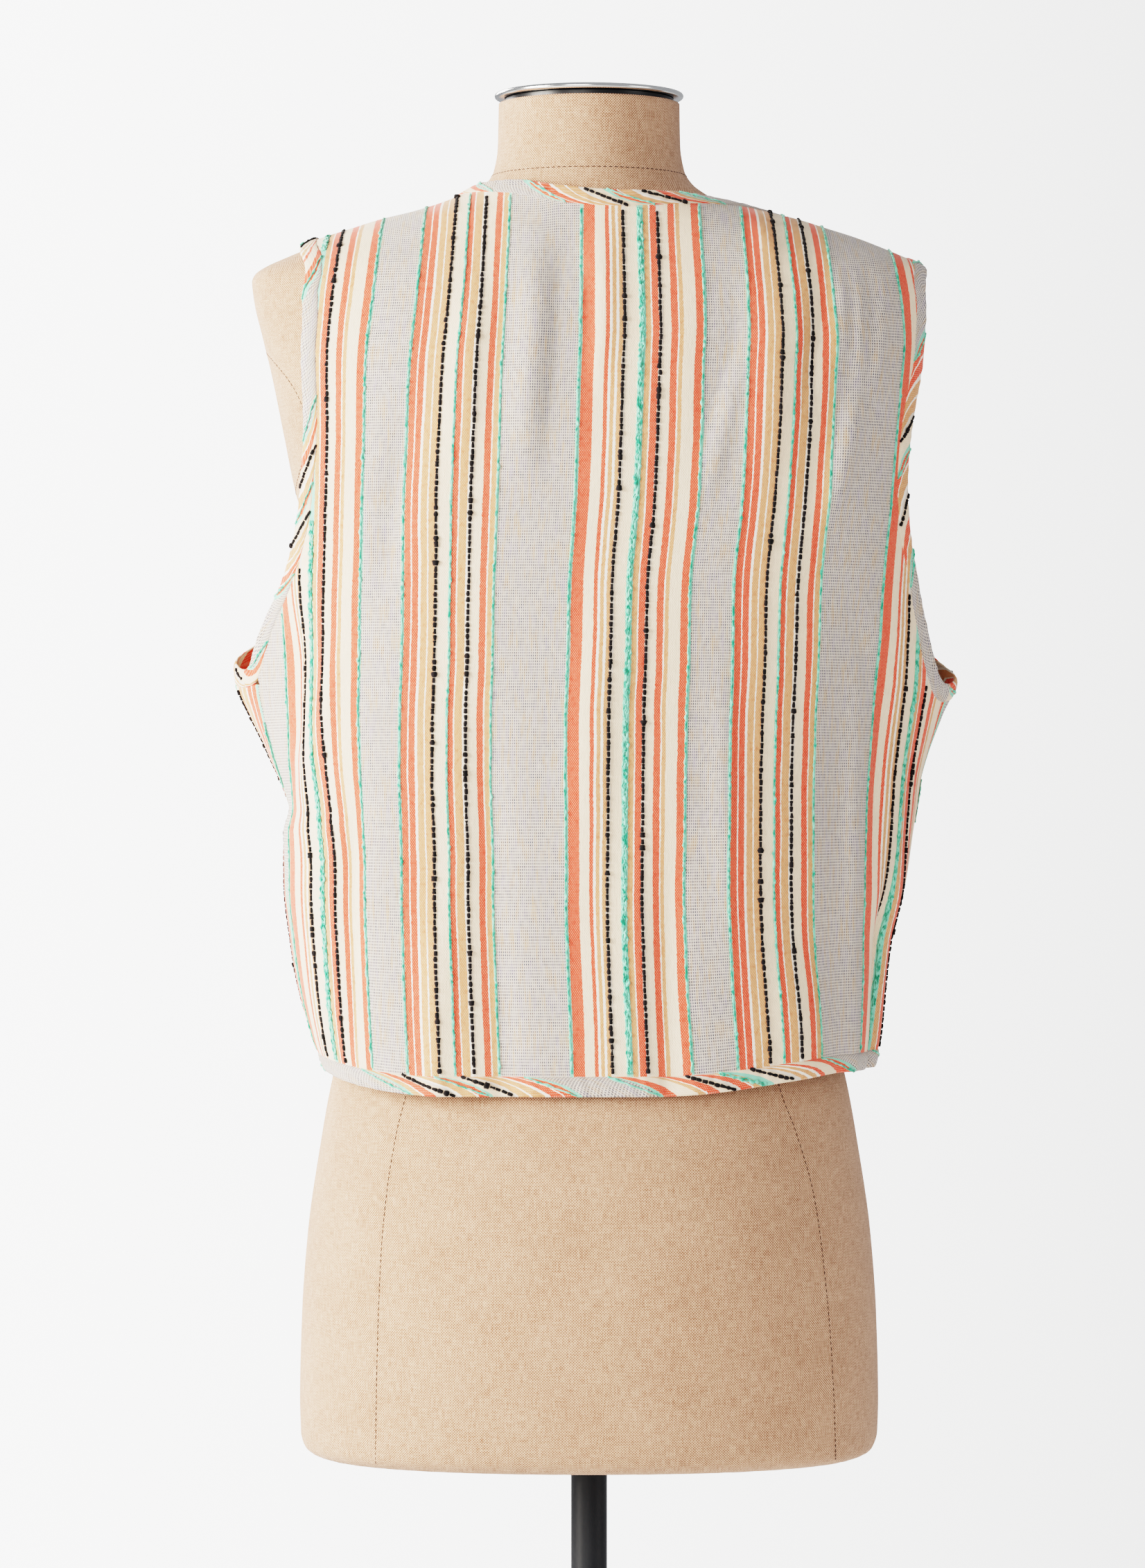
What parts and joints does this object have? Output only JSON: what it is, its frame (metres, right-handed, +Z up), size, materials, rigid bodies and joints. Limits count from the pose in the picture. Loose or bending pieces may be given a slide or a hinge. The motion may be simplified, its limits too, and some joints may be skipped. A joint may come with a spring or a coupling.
{
  "type": "striped vest on limbless dress form",
  "caption": "Sleeveless striped cotton vest, bound at neck, armholes, front and hem, worn by a linen-covered dress form on a pole and round base.",
  "frame": {"origin": "centre of the base's underside, on the floor under the pole", "axes": "+Z up along the pole; +Y the vest's open front; -Y its back, the side in the picture; +X the wearer's right"},
  "size_m": [0.4265, 0.34, 1.5027],
  "materials": {
    "striped_cotton": "woven slub cotton in vertical stripes, matt",
    "bias_binding": "the same cloth cut on the slant and folded over the edge",
    "linen_cover": "fine natural linen stretched over the form, seamed",
    "polished_steel": "polished plate",
    "black_steel": "satin black"
  },
  "bodies": {
    "root": {"vest_back": "striped_cotton", "vest_front_left": "striped_cotton", "vest_front_right": "striped_cotton", "neck_and_front_binding": "bias_binding", "armhole_binding_left": "bias_binding", "armhole_binding_right": "bias_binding", "hem_binding": "bias_binding", "dress_form": "linen_cover", "neck_spacer": "black_steel", "neck_cap": "polished_steel", "pole": "black_steel", "base": "black_steel"}
  },
  "joints": []
}
